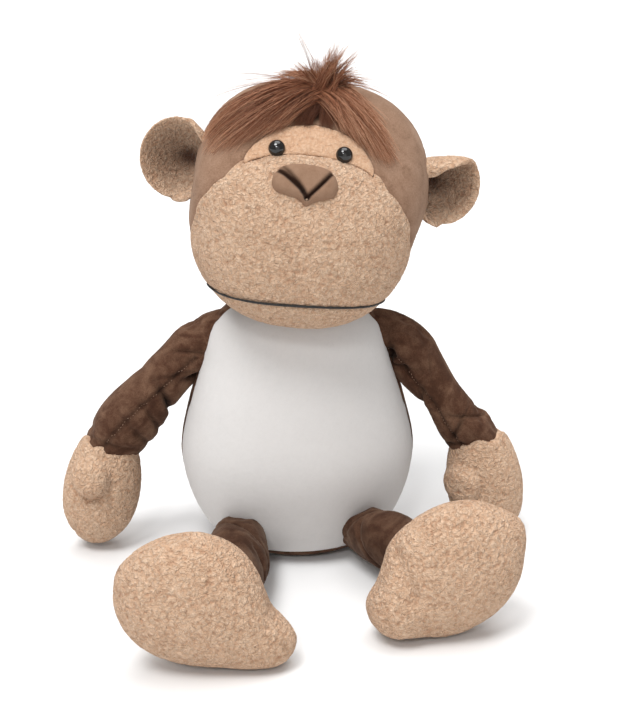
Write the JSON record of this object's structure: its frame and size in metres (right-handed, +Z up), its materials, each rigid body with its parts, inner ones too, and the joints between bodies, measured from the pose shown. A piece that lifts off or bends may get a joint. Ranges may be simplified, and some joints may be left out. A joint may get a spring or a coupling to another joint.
{
  "type": "stuffed monkey",
  "caption": "Seated soft toy monkey: pellet-weighted body with a pale belly, big curly muzzle, plastic eyes, a tuft of long hair and limbs that flop at their seams",
  "frame": {"origin": "middle of the flat seat panel, on the surface that the toy sits on", "axes": "+Z up, -Y the way that the toy looks, +X its own left side"},
  "size_m": [0.3841, 0.3738, 0.4116],
  "materials": {
    "white_knit": "fine brushed knit",
    "brown_pile": "short crushed pile",
    "tan_terry": "curly terry pile",
    "nose_velour": "smooth velour",
    "long_hair": "long pile hair",
    "black_thread": "embroidery thread",
    "stuffing": "loose fibre",
    "pellets": "small beads in a bag",
    "eye_plastic": "polished",
    "washer_plastic": "as moulded"
  },
  "bodies": {
    "torso": {"belly_panel": "white_knit", "back_panel": "brown_pile", "seat_panel": "brown_pile", "torso_filling": "stuffing", "pellet_bag": "pellets"},
    "neck": {"neck_filling": "stuffing"},
    "head": {"head_cover": "brown_pile", "brow_panel": "tan_terry", "muzzle_panel": "tan_terry", "chin_panel": "tan_terry", "mouth_thread": "black_thread", "head_filling": "stuffing", "nose_cover": "nose_velour", "nose_filling": "stuffing", "hair_tuft": "long_hair", "left_eye": "eye_plastic", "right_eye": "eye_plastic", "left_eye_washer": "washer_plastic", "right_eye_washer": "washer_plastic"},
    "left_ear": {"left_ear_front": "tan_terry", "left_ear_back": "tan_terry"},
    "right_ear": {"right_ear_front": "tan_terry", "right_ear_back": "tan_terry"},
    "left_arm": {"left_sleeve": "brown_pile", "left_arm_filling": "stuffing"},
    "right_arm": {"right_sleeve": "brown_pile", "right_arm_filling": "stuffing"},
    "left_hand": {"left_hand": "tan_terry", "left_hand_filling": "stuffing"},
    "right_hand": {"right_hand": "tan_terry", "right_hand_filling": "stuffing"},
    "left_leg": {"left_leg": "brown_pile", "left_leg_filling": "stuffing"},
    "right_leg": {"right_leg": "brown_pile", "right_leg_filling": "stuffing"},
    "left_foot": {"left_sole": "tan_terry", "left_foot_top": "tan_terry", "left_foot_filling": "stuffing"},
    "right_foot": {"right_sole": "tan_terry", "right_foot_top": "tan_terry", "right_foot_filling": "stuffing"},
    "tail": {"tail_cover": "brown_pile", "tail_filling": "stuffing"}
  },
  "joints": [
    {"name": "head_turn", "type": "hinge", "parent": "torso", "child": "neck", "pos_m": [0.003, 0.003, 0.205], "axis": [0, 0, 1], "range_deg": [-25, 25], "stiffness_Nm_per_rad": 0.8},
    {"name": "head_nod", "type": "hinge", "parent": "neck", "child": "head", "pos_m": [0.003, 0.003, 0.205], "axis": [1, 0, 0], "range_deg": [-10, 6], "stiffness_Nm_per_rad": 6},
    {"name": "left_ear_fold", "type": "hinge", "parent": "head", "child": "left_ear", "pos_m": [0.10084, 0.002, 0.30253], "axis": [0.1132, 0, 0.9936], "range_deg": [-5, 25], "stiffness_Nm_per_rad": 0.05},
    {"name": "right_ear_fold", "type": "hinge", "parent": "head", "child": "right_ear", "pos_m": [-0.08099, 0.002, 0.32325], "axis": [-0.1132, 0, -0.9936], "range_deg": [-5, 25], "stiffness_Nm_per_rad": 0.05},
    {"name": "left_arm_raise", "type": "hinge", "parent": "torso", "child": "left_arm", "pos_m": [0.082, 0, 0.171], "axis": [0, -1, 0], "range_deg": [0, 75]},
    {"name": "right_arm_raise", "type": "hinge", "parent": "torso", "child": "right_arm", "pos_m": [-0.082, 0, 0.177], "axis": [0, 1, 0], "range_deg": [0, 75]},
    {"name": "left_wrist_bend", "type": "hinge", "parent": "left_arm", "child": "left_hand", "pos_m": [0.15, -0.012, 0.084], "axis": [0, -1, 0], "range_deg": [-5, 20]},
    {"name": "right_wrist_bend", "type": "hinge", "parent": "right_arm", "child": "right_hand", "pos_m": [-0.155, -0.012, 0.084], "axis": [0, 1, 0], "range_deg": [-5, 20]},
    {"name": "left_hip_lift", "type": "hinge", "parent": "torso", "child": "left_leg", "pos_m": [0.052, -0.052, 0.029], "axis": [-0.8427, -0.5384, 0], "range_deg": [0, 30]},
    {"name": "right_hip_lift", "type": "hinge", "parent": "torso", "child": "right_leg", "pos_m": [-0.046, -0.056, 0.029], "axis": [-1, 0, 0], "range_deg": [0, 30]},
    {"name": "left_ankle_bend", "type": "hinge", "parent": "left_leg", "child": "left_foot", "pos_m": [0.11, -0.14, 0.038], "axis": [-1, 0, 0], "range_deg": [-7, 9]},
    {"name": "right_ankle_bend", "type": "hinge", "parent": "right_leg", "child": "right_foot", "pos_m": [-0.05, -0.178, 0.03], "axis": [-1, 0, 0], "range_deg": [-15, 15]},
    {"name": "tail_lift", "type": "hinge", "parent": "torso", "child": "tail", "pos_m": [0, 0.062, 0.014], "axis": [1, 0, 0], "range_deg": [0, 14]}
  ]
}
